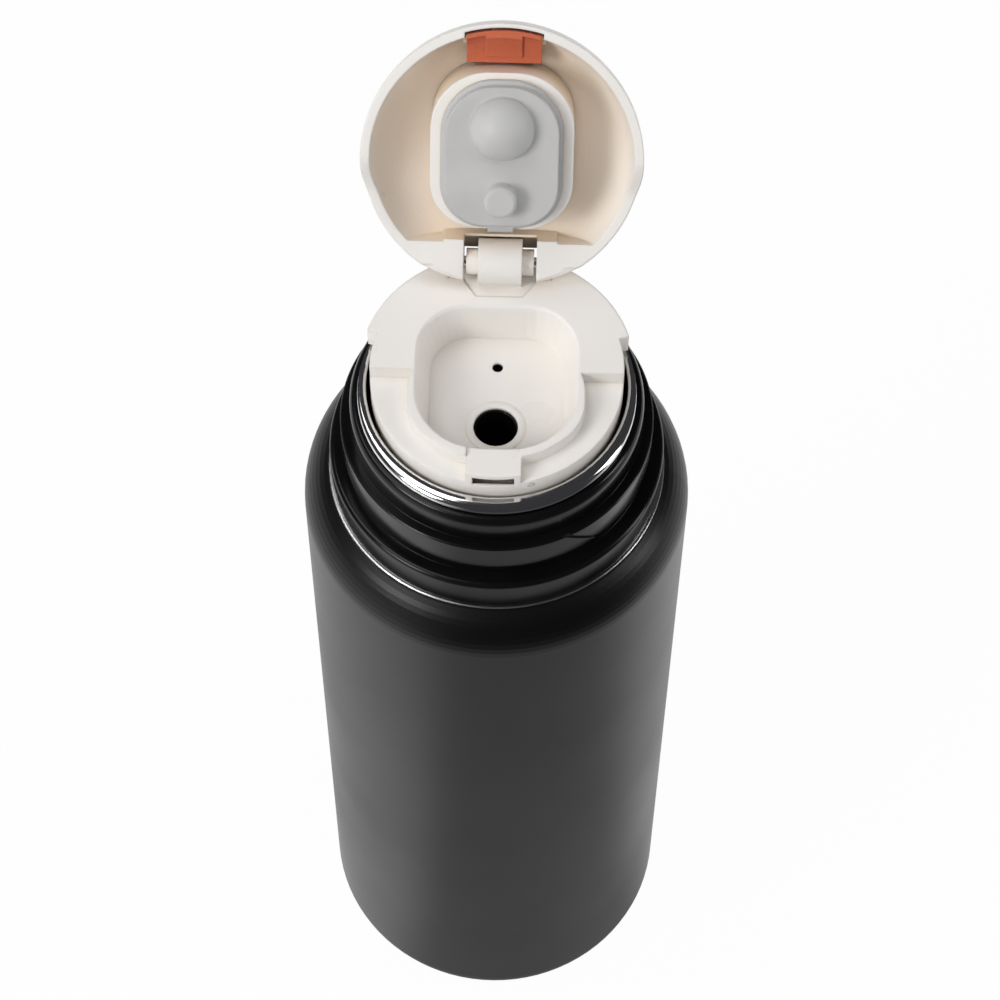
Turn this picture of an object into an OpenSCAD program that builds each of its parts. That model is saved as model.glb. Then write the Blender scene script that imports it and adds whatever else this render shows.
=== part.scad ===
// Vacuum flask with a flip-top pouring stopper, standing open.
// The origin is at the centre of the base, +Z is up and the hinge is at the back (+Y).

/* [Bottle] */
// Outer radius of the bottle
body_r = 48; // [46:0.5:52]
// Height of the straight side above the table
side_top = 217.8; // [190:0.1:260]
// Height of the rounded shoulder
shoulder_rise = 12.7; // [11:0.1:15]
// Width of the rounded shoulder, seen from above
shoulder_run = 10.5; // [6:0.1:12]
// Radius of the bottom corner
foot_corner = 9; // [6:0.5:10]
// Thickness of the outer steel sheet
shell_wall = 0.8; // [0.6:0.05:1]
// Thickness of the liner sheet
liner_wall = 0.5; // [0.4:0.05:0.7]
// Width of the vacuum space at the side
vacuum_gap = 4; // [3:0.5:5]
// Height of the steel lip above the shoulder
neck_rise = 36; // [34:0.5:40]
// Inner radius of the neck
neck_r = 31.1; // [31:0.05:31.5]
// Radial width of the rolled lip
lip_width = 2.2; // [2:0.1:2.4]
// Width of the step in the neck that the gasket presses on
seat_step = 2.5; // [2.3:0.1:2.7]

/* [Base] */
// Width of the flat ring that the bottle stands on
foot_flat = 1.5; // [1.2:0.1:4]
// Height of the turned-up bottom edge
foot_lip = 6; // [5:0.5:8]
// Height of the ring-shaped recess in the base cover
base_recess = 1.6; // [1:0.1:2.5]
// Radius of the evacuation hole
evac_r = 1.2; // [0.8:0.1:1.6]
// Radius of the getter pellet
getter_r = 4; // [3:0.5:6]
// Height of the getter pellet
getter_h = 2; // [1.5:0.1:2.8]
// Thickness of the copper foil
foil_t = 0.2; // [0.1:0.05:0.3]

/* [Cup collar] */
// Width of the flange beyond the collar's wall
flange_w = 3.9; // [2:0.1:6]
// Height of the flange
flange_h = 9.6; // [8:0.1:11]
// Thickness of the collar's wall above the flange
collar_wall_w = 3.6; // [2.6:0.1:3.9]
// Width of the threaded band beyond the wall
band_w = 0.8; // [0.5:0.1:2]
// Space between the flange and the band
band_drop = 4; // [3:0.1:5]
// Height of the threaded band
band_h = 8.3; // [7:0.1:9]
// Thickness of the collar's wall at its top
collar_top_w = 1.9; // [1.6:0.1:2.3]
// Gap between the collar's top and the steel lip
lip_show = 5; // [4:0.1:7]
// Radial thickness of the bare steel ring under the collar
trim_t = 0.5; // [0.4:0.1:0.8]

/* [Stopper] */
// Gap between the stopper's skirt and the steel lip
skirt_gap = 1.1; // [1:0.05:1.3]
// Height of the front ledge above the steel lip
ledge_rise = 3.5; // [3:0.1:5]
// Height of the plateau above the ledge
plateau_rise = 4; // [3.8:0.1:4.4]
// Width of the wing around the stopper's back
wing_w = 2.4; // [2:0.1:3]
// Half width of the well's mouth
well_half_w = 18.6; // [18.2:0.1:19]
// Front edge of the well's mouth, measured from the axis
well_front = 22.1; // [21.9:0.1:22.4]
// Back edge of the well's mouth, measured from the axis
well_back = 16.8; // [16.5:0.1:17]
// Depth of the well below the plateau
well_depth = 12; // [11.5:0.1:13]
// Radius of the spout hole
spout_r = 5.3; // [4:0.1:5.6]
// Distance of the spout hole in front of the axis
spout_y = 9.4; // [9:0.1:10]
// Radius of the vent hole
vent_r = 1.3; // [1:0.1:1.6]
// Distance of the vent hole behind the axis
vent_y = 7.4; // [7:0.1:8]
// Gap between the stopper's threaded plug and the neck
plug_gap = 1.8; // [1.7:0.05:2]
// Rise of the screw thread in one turn
thread_lead = 6; // [5:0.5:7]
// Height of the thread ridge beyond the plug
thread_depth = 1.2; // [1:0.1:1.4]

/* [Hinge] */
// Distance of the hinge axis behind the bottle's axis
hinge_y = 26.8; // [26.5:0.1:27.2]
// Height of the hinge axis above the plateau
hinge_rise = 4.4; // [4.3:0.05:4.8]
// Radius of the knuckle
knuckle_r = 5.6; // [5.2:0.1:5.8]
// Width of the knuckle
knuckle_w = 10.5; // [9:0.1:12]
// Radius of the barrels beside the knuckle
barrel_r = 3.15; // [2.4:0.05:3.3]
// Width over both barrels
barrel_w = 16.1; // [14:0.1:16.5]
// Radius of the hinge pin
pin_r = 1.25; // [1:0.05:1.5]
// Angle by which the cap stands open
cap_open = 127; // [100:1:128]

/* [Flip cap] */
// Width by which the closed cap stands out beyond the skirt
cap_over = 3.1; // [2.9:0.05:3.5]
// Wall of the cap
cap_wall = 2.2; // [2:0.1:2.3]
// Radius of the domed edge
dome_r = 15.5; // [15:0.1:16]
// Height of the cap's front rim above the ledge
rim_gap = 0.3; // [0.2:0.05:0.5]
// Height of the straight wall above the front rim
cap_side = 1.2; // [1:0.1:1.5]
// Half width of the seal holder
holder_half_w = 16.7; // [16:0.1:16.8]
// Half width of the silicone seal
seal_half_w = 14.3; // [13.5:0.1:14.8]
// Radius of the dome that closes the spout
plug_dome_r = 7.4; // [7:0.1:7.8]
// Radius of the peg that closes the vent
vent_peg_r = 3.8; // [3.2:0.1:4.2]

/* [Latch] */
// Half width of the latch
latch_half_w = 8.7; // [8:0.1:9]
// Half width of the button
button_half_w = 7.3; // [6.5:0.1:7.6]
// Half width of the hook
hook_half_w = 4.2; // [3.8:0.1:4.4]
// Radius of the latch pin
latch_pin_r = 0.9; // [0.7:0.05:1]
// Wire radius of the latch spring
spring_wire_r = 0.3; // [0.25:0.05:0.35]

/* [Hidden] */
$fn = 96;

// colours
black_coat = "#1d1d1f";
bright_steel = "#c9cbcd";
cream = "#ebe8e3";
grey_silicone = "#c0bfbd";
terracotta = "#c4653f";
copper = "#b87333";

// clearances
seat_gap = 0.05;      // between pieces fixed in each other
run_gap = 0.05;       // between a pin and the piece that turns on it
touch_gap = 0.25;     // between soft pieces and what they press on
lid_gap = 1;          // between the closed cap and the plateau
side_gap = 0.6;       // beside the hinge barrels
over = 1;             // overshoot of cuts

// heights of the bottle
shoulder_top = side_top + shoulder_rise;
lip_top = shoulder_top + neck_rise;
neck_out_r = neck_r + lip_width;
neck_wall = 0.7;
lip_in_r = 0.7;
lip_drop = 4.3;
lip_x = neck_r + lip_in_r;
lip_z = lip_top - lip_drop;
seat_r = neck_r - seat_step;
foot_inner_r = body_r - foot_corner - foot_flat;
shell_in_r = body_r - shell_wall;
liner_out_r = shell_in_r - vacuum_gap;
liner_in_r = liner_out_r - liner_wall;
liner_bottom = 10;
base_r = foot_inner_r - seat_gap;
liner_corner = 14;
seat_z = shoulder_top + 1.1;
seat_slope = 4.4;
liner_shoulder = 17.5;
foil_low = 6;
foil_high = 12;

// heights of the collar
collar_base = shoulder_top + trim_t;
flange_top = collar_base + flange_h;
band_low = flange_top + band_drop;
band_top = band_low + band_h;
collar_top = lip_top - lip_show;
collar_bore = neck_out_r + seat_gap * 2;
collar_top_r = collar_bore + collar_top_w;
collar_wall_r = collar_bore + collar_wall_w;
flange_r = collar_wall_r + flange_w;
band_r = collar_wall_r + band_w;
groove_reach = 9;
oring_half = 1;
oring_z = (band_low + band_top) / 2;
oring_r = neck_out_r + 1.5;

// heights and radii of the stopper
skirt_r = neck_r - skirt_gap;
wing_r = skirt_r + wing_w;
plug_r = neck_r - plug_gap;
ledge_z = lip_top + ledge_rise;
plateau_z = ledge_z + plateau_rise;
well_floor = plateau_z - well_depth;
well_corner = 12;
well_front_corner = 15.5;
corner_draft = 2.5;
well_draft = 2.5;
well_rim = 1.6;
well_levels = [[over, 1.5], [0, 0.7], [-0.7, 0.2], [-well_rim, 0]];
step_y = -1.2;
rim_wall = 2.6;
wing_from = 107;
wing_h = 6.2;
deck_t = 2;
skirt_h = 14;
skirt_wall = 2.2;
skirt_low = ledge_z - skirt_h;
hinge_z = plateau_z + hinge_rise;
catch_half_w = 6.45;
catch_back = well_front + 0.7;
catch_z = ledge_z + 3.3;
slot_half_w = 4.85;
slot_low = ledge_z - 0.6;
slot_h = 2.8;
slot_deep = 5;
slot_lip = 0.7;
slot_pit = 3.4;
pit_wall = 1.2;
foot_back = 1.6;
spout_ring = 0.25;
tube_wall = 1;
tube_r = spout_r - 0.5;
vent_tube_r = vent_r - 0.2;
tube_top = well_floor - 0.7;
mark_r = 0.8;
mark_turn = 17.3;
foot_y = 0.8;

// heights of the plug
plug_wall = 1.8;
plug_low = seat_z - 1.1;
plug_floor = 2;
gasket_low = seat_z + 0.5;
gasket_h = 3;
gasket_in_r = seat_r - 1.6;
gasket_out_r = seat_r + 0.9;
thread_low = gasket_low + gasket_h + 4;
thread_turns = 1.1;
thread_base = 2.2;
thread_crest = 1.2;
liner_thread_r = plug_r + 0.5;

// places of the cap, as it stands closed
cap_r = skirt_r + cap_over;
cut_margin = 14.9;     // how far cuts and limits reach past the cap
cut_reach = cap_r + cut_margin;
rim_z = ledge_z + rim_gap;
back_rim_z = plateau_z + lid_gap;
dome_z = rim_z + cap_side;
cap_top = dome_z + dome_r;
cap_in_r = cap_r - cap_wall;
cap_ceiling = cap_top - cap_wall;
ramp_y = -1.5;
ramp_end_y = 10;
back_wall_y = 20.4;
back_step_x = 13.5;
back_step = 0.6;
pocket_half_w = barrel_w / 2 + side_gap;
pocket_front = back_wall_y - over;
pocket_r = knuckle_r + 0.35;
pocket_open_y = hinge_y - 1.8;
ear_r = hinge_rise + 0.3;
ear_end_r = hinge_rise - 1.3;
ear_end_x = 16.5;
trough_x = pocket_half_w - touch_gap;
trough_end_x = (trough_x + ear_end_x) / 2;
pin_half = pocket_half_w + 5;

// places of the seal and its holder, as they stand closed
holder_face = ledge_z;
holder_front = well_front - 0.6;
holder_back = well_back - 0.8;
holder_corner = 11.3;
holder_front_corner = 13.6;
holder_wall = 1.8;
holder_plate = 2.4;
seal_front = holder_front - 1.4;
seal_back = holder_back - 0.8;
seal_corner = 10.5;
seal_front_corner = 12.6;
seal_flange = 1.3;
seal_h = 3.6;
seal_step = 1;
seal_boss_r = 2.5;
plug_ball_r = 8.04;
tab_half_w = 3.05;
post_r = 2.4;
post_x = 10;
post_ys = [-10, 7];

// places of the latch, as the cap stands closed
latch_y = 2.6 - skirt_r;
latch_z = ledge_z + 8.6;
boss_r = 1.9;
arm_in_r = skirt_r + 0.3;
arm_out_r = arm_in_r + 1.05;
arm_step = 0.3;
arm_step_z = ledge_z + 4;
nose_in_r = skirt_r - 0.5;
nose_low = ledge_z + 0.75;
nose_h = 1;
plate_low = ledge_z + 6;
plate_t = 1;
plate_back = 22.4;
window_low = ledge_z + 6.6;
button_reach = 7.9;
button_t = 1.3;
button_gap = 0.35;
press_room = 0.75;
button_sink = 0.2;
recess_gap = 0.4;
lug_half_w = 1.25;
lug_x = button_half_w + button_gap;
lug_t = 2;
coil_r = latch_pin_r + 0.25 + spring_wire_r;
coil_half = 2;
coil_turns = 4;

// points of an elliptical arc about (cx, cz), with n steps
function arc(cx, cz, rx, rz, a0, a1, n = 12) =
    [for (i = [0 : n]) let (a = a0 + (a1 - a0) * i / n) [cx + rx * cos(a), cz + rz * sin(a)]];

// ring of rectangular section
module ring(r_out, r_in, z0, z1) {
    translate([0, 0, z0]) difference() {
        cylinder(r = r_out, h = z1 - z0);
        translate([0, 0, -over]) cylinder(r = r_in, h = z1 - z0 + 2 * over);
    }
}

// block between two corners
module block(low, high) {
    translate(low) cube(high - low);
}

// upright plate with round corners, from y = -front to y = back
module round_plate(half_w, front, back, corner, front_corner, z0, z1) {
    translate([0, 0, z0]) linear_extrude(z1 - z0) union() {
        translate([-half_w, front_corner - front])
            square([2 * half_w, front + back - corner - front_corner]);
        translate([corner - half_w, -front + front_corner])
            square([2 * (half_w - corner), front + back - front_corner]);
        translate([front_corner - half_w, -front])
            square([2 * (half_w - front_corner), front + back - corner]);
        for (x = [-1, 1]) {
            translate([x * (half_w - front_corner), front_corner - front]) circle(r = front_corner);
            translate([x * (half_w - corner), back - corner]) circle(r = corner);
        }
    }
}

// outline of the same shape at height z, anticlockwise from the right
function plate_outline(half_w, front, back, corner, front_corner, z, n = 8) =
    [for (q = [0 : 3], i = [0 : n])
        let (a = 90 * (q + i / n), side = q == 0 || q == 3 ? 1 : -1, r = q < 2 ? corner : front_corner)
        [side * (half_w - r) + r * cos(a), (q < 2 ? back - r : r - front) + r * sin(a), z]];

// solid of revolution with a vertical side, a rounded edge and a flat top
module dome_solid(r, edge_r, z_low, z_edge) {
    rotate_extrude() polygon(concat([[0, z_low], [r, z_low]],
        arc(r - edge_r, z_edge, edge_r, edge_r, 0, 90, 16), [[0, z_edge + edge_r]]));
}

// cylinder along X about the hinge axis or another line
module x_cylinder(r, half, y, z) {
    translate([-half, y, z]) rotate([0, 90, 0]) cylinder(r = r, h = 2 * half);
}

// solid through a list of sections with the same number of points
module swept_ridge(sections) {
    n = len(sections[0]);
    m = len(sections);
    polyhedron(points = [for (s = sections) each s],
        faces = concat([[for (j = [n - 1 : -1 : 0]) j]],
            [for (i = [0 : m - 2], j = [0 : n - 1])
                [i * n + j, i * n + (j + 1) % n, (i + 1) * n + (j + 1) % n, (i + 1) * n + j]],
            [[for (j = [0 : n - 1]) (m - 1) * n + j]]));
}

// helical thread ridge, from the root radius to the crest radius, tapering to nothing at both ends
module thread_ridge(root_r, crest_r, z, turns, steps = 40) {
    count = ceil(turns * steps);
    swept_ridge([for (i = [0 : count]) let (
            a = 360 * turns * i / count,
            fade = min(1, 0.15 + min(i, count - i) / 5),
            tip = root_r + (crest_r - root_r) * fade,
            low = z + thread_lead * a / 360,
            root = sign(root_r - crest_r) * 0.3 + root_r)
        crest_r > root_r
            ? [ring_point(root, a, low - thread_base / 2), ring_point(tip, a, low - thread_crest / 2),
               ring_point(tip, a, low + thread_crest / 2), ring_point(root, a, low + thread_base / 2)]
            : [ring_point(root, a, low + thread_base / 2), ring_point(tip, a, low + thread_crest / 2),
               ring_point(tip, a, low - thread_crest / 2), ring_point(root, a, low - thread_base / 2)]]);
}

function ring_point(r, a, z) = [r * cos(a), r * sin(a), z];

// the cap's pieces are drawn closed and turned open about the hinge axis
module opened() {
    translate([0, hinge_y, hinge_z]) rotate([-cap_open, 0, 0]) translate([0, -hinge_y, -hinge_z])
        children();
}

// Bottle

module outer_shell() {
    run_r = body_r - shoulder_run;
    foot_r = body_r - foot_corner;
    color(black_coat) rotate_extrude() polygon(concat(
        [[foot_inner_r, foot_lip], [foot_inner_r, 0]],
        arc(foot_r, foot_corner, foot_corner, foot_corner, -90, 0),
        arc(run_r, side_top, shoulder_run, shoulder_rise, 0, 90),
        [[neck_out_r, shoulder_top], [neck_out_r, lip_z], [neck_out_r - neck_wall, lip_z],
         [neck_out_r - neck_wall, shoulder_top - shell_wall]],
        arc(run_r, side_top, shoulder_run - shell_wall, shoulder_rise - shell_wall, 90, 0),
        arc(foot_r, foot_corner, foot_corner - shell_wall, foot_corner - shell_wall, 0, -90),
        [[foot_inner_r + shell_wall, shell_wall], [foot_inner_r + shell_wall, foot_lip]]));
}

module shoulder_ring() {
    color(bright_steel) ring(flange_r + trim_t, collar_wall_r, shoulder_top, collar_base);
}

module inner_liner() {
    neck_low = seat_z + seat_slope;
    out_seat = seat_r + liner_wall;
    shoulder_z = seat_z - 2.1 - liner_shoulder;
    run = liner_in_r - seat_r;
    corner_in = liner_corner - liner_wall;
    corner_r = liner_out_r - liner_corner;
    corner_z = liner_bottom + liner_corner;
    color(bright_steel) union() {
        rotate_extrude() polygon(concat(
            [[0, liner_bottom], [corner_r, liner_bottom]],
            arc(corner_r, corner_z, liner_corner, liner_corner, -90, 0),
            arc(seat_r, shoulder_z, run + liner_wall, liner_shoulder + liner_wall, 0, 88),
            [[out_seat, seat_z + liner_wall], [neck_r + liner_wall, neck_low + liner_wall]],
            // rolled lip, drawn down on the outside to meet the shell
            arc(lip_x, lip_top - lip_in_r, lip_in_r - liner_wall, lip_in_r - liner_wall, 180, 120, 2),
            arc(lip_x, lip_z, neck_out_r - lip_x - liner_wall, lip_drop - liner_wall, 90, 0),
            arc(lip_x, lip_z, neck_out_r - lip_x, lip_drop, 0, 90, 16),
            arc(lip_x, lip_top - lip_in_r, lip_in_r, lip_in_r, 112.5, 180, 3),
            [[neck_r, neck_low], [seat_r, seat_z]],
            arc(seat_r, shoulder_z, run, liner_shoulder, 90, 0),
            arc(corner_r, corner_z, corner_in, corner_in, 0, -90),
            [[0, liner_bottom + liner_wall]]));
        // inward thread that holds the stopper
        rotate([0, 0, 180]) thread_ridge(neck_r, liner_thread_r, thread_low + thread_lead * 0.5
            + (thread_base + thread_crest) / 2 + 0.35, 1);
    }
}

module heat_foil() {
    foil_in = liner_out_r + foil_t / 2;
    color(copper) ring(foil_in + foil_t, foil_in, liner_bottom + liner_corner + foil_low,
        side_top - foil_high);
}

module base_plate() {
    plate_z = foot_lip - 1;
    dimple = 1.2;
    color(bright_steel) rotate_extrude() polygon([[evac_r, plate_z - dimple], [4, plate_z - dimple],
        [8, plate_z], [base_r, plate_z], [base_r, foot_lip - 0.2], [8, foot_lip - 0.2],
        [4, foot_lip - 0.2 - dimple], [evac_r, foot_lip - 0.2 - dimple]]);
}

// the middle is level with the ring that the bottle stands on
module base_cover() {
    top = base_recess + shell_wall;
    rim = foot_lip - 1 - seat_gap;
    disc_r = base_r * 0.62;
    slope = base_recess * 1.5;
    color(bright_steel) rotate_extrude() polygon([[0, 0], [disc_r, 0], [disc_r + slope, base_recess],
        [base_r, base_recess], [base_r, rim], [base_r - shell_wall, rim], [base_r - shell_wall, top],
        [disc_r + slope, top], [disc_r, shell_wall], [0, shell_wall]]);
}

module vacuum_plug() {
    top = foot_lip - 1.4;
    low = foot_lip - 2.2;
    stem_r = evac_r - seat_gap / 2;
    color("silver") rotate_extrude() polygon(concat([[0, top], [stem_r, top], [stem_r, low]],
        arc(0, low, evac_r * 2, 0.7, 0, -90, 6)));
}

module getter() {
    color("dimgray") translate([foot_inner_r / 2, 0, foot_lip - 0.2]) cylinder(r = getter_r, h = getter_h);
}

module cup_collar() {
    edge = 1.1;
    top_edge = 1.3;
    groove_w = 0.9;
    groove_tilt = 47;
    color(black_coat) difference() {
        rotate_extrude() polygon(concat(
            [[collar_bore, collar_base], [flange_r - 0.4, collar_base], [flange_r, collar_base + 0.4]],
            arc(flange_r - edge, flange_top - edge, edge, edge, 0, 90, 5),
            [[collar_wall_r, flange_top], [collar_wall_r, band_low], [band_r - 0.3, band_low],
             [band_r, band_low + 0.3], [band_r, band_top - 0.3], [band_r - 0.3, band_top],
             [collar_top_r, band_top]],
            arc(collar_top_r - top_edge, collar_top - 2.2, top_edge, 2.2, 0, 90, 6),
            [[collar_bore, collar_top]]));
        ring(oring_r, collar_bore - over, oring_z - oring_half - 0.1, oring_z + oring_half + 0.1);
        // two slanting lead-ins of the cup thread
        for (side = [0, 180]) rotate([0, 0, side - 90 + 34.5])
            translate([band_r, 0, (band_low + band_top) / 2]) rotate([groove_tilt, 0, 0])
                block([-0.75, -groove_w / 2, -groove_reach],
                        [over, groove_w / 2, groove_reach]);
    }
}

module collar_seal() {
    color("black")
        ring(oring_r - seat_gap, neck_out_r + seat_gap, oring_z - oring_half, oring_z + oring_half);
}

// Stopper

module well_cut() {
    swept_ridge(concat(
        [for (level = well_levels) plate_outline(well_half_w + level[1], well_front + level[1],
            well_back + level[1], well_corner + level[1], well_front_corner + level[1],
            plateau_z + level[0])],
        [plate_outline(well_half_w - well_draft, well_front - 1.2, well_back - 1.1,
            well_corner - corner_draft, well_front_corner - corner_draft, well_floor)]));
}

module hinge_block() {
    half = knuckle_w / 2;
    difference() {
        union() {
            x_cylinder(knuckle_r, half, hinge_y, hinge_z);
            block([-half, hinge_y - knuckle_r + foot_back, plateau_z - over],
                [half, hinge_y + foot_y, hinge_z]);
            x_cylinder(barrel_r, barrel_w / 2, hinge_y, hinge_z);
        }
        x_cylinder(pin_r, barrel_w, hinge_y, hinge_z);
    }
}

module stopper_top() {
    color(cream) union() {
        stopper_cut();
        // raised ring around the spout hole
        translate([0, -spout_y, 0]) rotate_extrude() polygon([[spout_r, well_floor - 0.5],
            [spout_r, well_floor + spout_ring - 0.15], [spout_r + 0.2, well_floor + spout_ring],
            [spout_r + 1.1, well_floor + spout_ring], [spout_r + 1.8, well_floor + 0.1],
            [spout_r + 1.8, well_floor - 0.5]]);
    }
}

module stopper_cut() {
    inner_r = skirt_r - skirt_wall;
    bowl_z = well_floor - deck_t;
    difference() {
        union() {
            ring(skirt_r, inner_r, skirt_low, ledge_z - deck_t);
            difference() {
                union() {
                    translate([0, 0, bowl_z]) cylinder(r = skirt_r, h = ledge_z - bowl_z);
                    intersection() {
                        translate([0, 0, ledge_z - over]) cylinder(r = skirt_r, h = plateau_rise + over);
                        block([-cut_reach, step_y, 0], [cut_reach, cut_reach, plateau_z]);
                    }
                    round_plate(well_half_w + rim_wall - 0.3, well_front + rim_wall, 5,
                        well_corner + 2, well_front_corner + 2, ledge_z - over, plateau_z);
                }
                // hollow for the foam, around the well
                difference() {
                    translate([0, 0, bowl_z - over])
                        cylinder(r = inner_r, h = ledge_z - deck_t - bowl_z + over);
                    round_plate(well_half_w + 2, well_front + 2, well_back + 2, well_corner + 2,
                        well_front_corner + 2, bowl_z, plateau_z);
                    // walls of the latch slot's pit
                    block([-slot_half_w - pit_wall, -skirt_r, slot_low - slot_pit - pit_wall],
                        [slot_half_w + pit_wall, -well_front, ledge_z]);
                }
            }
            // wing around the back, above the steel lip
            translate([0, 0, plateau_z - wing_h]) rotate([0, 0, wing_from - 90])
                rotate_extrude(angle = 360 - 2 * wing_from) translate([skirt_r - 1, 0])
                    square([wing_r - skirt_r + 1, wing_h]);
            // catch block for the latch
            intersection() {
                cylinder(r = skirt_r, h = catch_z);
                block([-catch_half_w, -skirt_r - over, ledge_z - over],
                    [catch_half_w, -catch_back, catch_z]);
            }
            hinge_block();
            // socket of the spout tube
            translate([0, -spout_y, bowl_z - 3]) cylinder(r = tube_r + tube_wall + 1.2, h = 3 + over);
        }
        well_cut();
        // the rim dips in front of the spout, level with the catch block
        block([-catch_half_w, -well_front - rim_wall - over, catch_z],
            [catch_half_w, -well_front + 2, plateau_z + over]);
        translate([0, -spout_y, bowl_z]) cylinder(r = spout_r, h = plateau_z - bowl_z);
        translate([0, -spout_y, bowl_z - 4])
            cylinder(r = tube_r + tube_wall + seat_gap, h = tube_top + seat_gap - bowl_z + 4);
        translate([0, vent_y, bowl_z]) cylinder(r = vent_r, h = plateau_z - bowl_z);
        translate([0, vent_y, bowl_z - over])
            cylinder(r = vent_tube_r + tube_wall + seat_gap, h = tube_top + seat_gap - bowl_z + over);
        // troughs that the cap's ears turn in
        for (side = [-1, 1]) translate([side * (trough_x + trough_end_x) / 2, 0, 0])
            x_cylinder(ear_r + touch_gap, (trough_end_x - trough_x) / 2, hinge_y, hinge_z);
        // latch slot, with a pit behind its lip
        block([-slot_half_w, -skirt_r - over, slot_low],
            [slot_half_w, -skirt_r + slot_deep, slot_low + slot_h]);
        block([-slot_half_w, -skirt_r + slot_lip, slot_low - slot_pit],
            [slot_half_w, -skirt_r + slot_deep, slot_low + over]);
        // round moulding mark on the skirt
        rotate([0, 0, mark_turn]) translate([0, 0.2 - skirt_r, ledge_z - 1.8]) rotate([90, 0, 0])
            difference() {
                cylinder(r = mark_r, h = over);
                translate([0, 0, -over]) cylinder(r = mark_r - 0.3, h = 3 * over);
            }
        // shallow recess around the hinge block
        difference() {
            translate([0, 0, plateau_z - 0.3]) linear_extrude(over) polygon([
                [-5.6, hinge_y - 7], [5.6, hinge_y - 7], [8.6, hinge_y - 2.8],
                [8.6, hinge_y + 3], [-8.6, hinge_y + 3], [-8.6, hinge_y - 2.8]]);
            hinge_block();
        }
    }
}

module plug_body() {
    top = skirt_low + 2.5;
    color(cream) difference() {
        union() {
            rotate_extrude() polygon([[0, plug_low], [seat_r - 0.4, plug_low], [seat_r - 0.4, gasket_low],
                [gasket_in_r, gasket_low], [gasket_in_r, gasket_low + gasket_h],
                [plug_r, gasket_low + gasket_h], [plug_r, skirt_low],
                [skirt_r - skirt_wall - seat_gap, skirt_low], [skirt_r - skirt_wall - seat_gap, top],
                [plug_r - plug_wall - 1, top], [plug_r - plug_wall - 1, gasket_low + gasket_h + 2],
                [gasket_in_r - plug_wall, gasket_low + gasket_h],
                [gasket_in_r - plug_wall, plug_low + plug_floor], [0, plug_low + plug_floor]]);
            thread_ridge(plug_r, plug_r + thread_depth, thread_low, thread_turns);
        }
        translate([0, -spout_y, plug_low - over])
            cylinder(r = tube_r + tube_wall + seat_gap, h = plug_floor + 2 * over);
        translate([0, vent_y, plug_low - over])
            cylinder(r = vent_tube_r + tube_wall + seat_gap, h = plug_floor + 2 * over);
    }
}

module plug_foam() {
    low = plug_low + plug_floor;
    high = well_floor - deck_t - 3;
    mid = gasket_low + gasket_h;
    low_r = gasket_in_r - plug_wall - 0.3;
    high_r = plug_r - plug_wall - 1.3;
    color("white") difference() {
        rotate_extrude() polygon([[0, low], [low_r, low], [low_r, mid], [high_r, mid + 2],
            [high_r, high], [0, high]]);
        translate([0, -spout_y, low - over]) cylinder(r = tube_r + tube_wall + 0.3, h = high);
        translate([0, vent_y, low - over]) cylinder(r = vent_tube_r + tube_wall + 0.3, h = high);
    }
}

module spout_tube() {
    color(black_coat) translate([0, -spout_y, 0]) ring(tube_r + tube_wall, tube_r, plug_low, tube_top);
}

module vent_tube() {
    color(black_coat) translate([0, vent_y, 0])
        ring(vent_tube_r + tube_wall, vent_tube_r, plug_low, tube_top);
}

module neck_gasket() {
    in_r = gasket_in_r + seat_gap;
    low = gasket_low + seat_gap;
    high = gasket_low + gasket_h - seat_gap;
    color(grey_silicone) rotate_extrude() polygon([[in_r, low], [seat_r - 0.1, low],
        [gasket_out_r, low + 1.6], [gasket_out_r, high - 0.4], [gasket_out_r - 0.4, high],
        [in_r, high]]);
}

module hinge_pin() {
    color(bright_steel) x_cylinder(pin_r, pin_half, hinge_y, hinge_z);
}

// Flip cap

// cones about the hinge axis that bound the cap's ears
module ear_cones() {
    for (side = [-1, 1]) translate([side * pocket_half_w, hinge_y, hinge_z]) rotate([0, side * 90, 0])
        cylinder(r1 = ear_r, r2 = ear_end_r, h = ear_end_x - pocket_half_w);
}

module cap_hinge_pocket() {
    half = pocket_half_w;
    x_cylinder(pocket_r, half, hinge_y, hinge_z);
    block([-half, pocket_front, back_rim_z - over], [half, cut_reach, hinge_z + 1.5]);
    block([-half, pocket_open_y, back_rim_z - over], [half, cut_reach, cap_top + over]);
}

module latch_window() {
    half = button_half_w + button_gap;
    // opening for the button
    intersection() {
        block([-half, -cap_r - over, window_low], [half, 0, cap_top]);
        x_cylinder(button_reach + button_gap, half, latch_y, latch_z);
    }
    // recess in which the latch's arm swings out
    intersection() {
        block([-latch_half_w - recess_gap, -cap_r, rim_z - over],
            [latch_half_w + recess_gap, -catch_back, latch_z - lug_half_w]);
        cylinder(r = arm_out_r + press_room, h = cap_top);
    }
}

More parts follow.
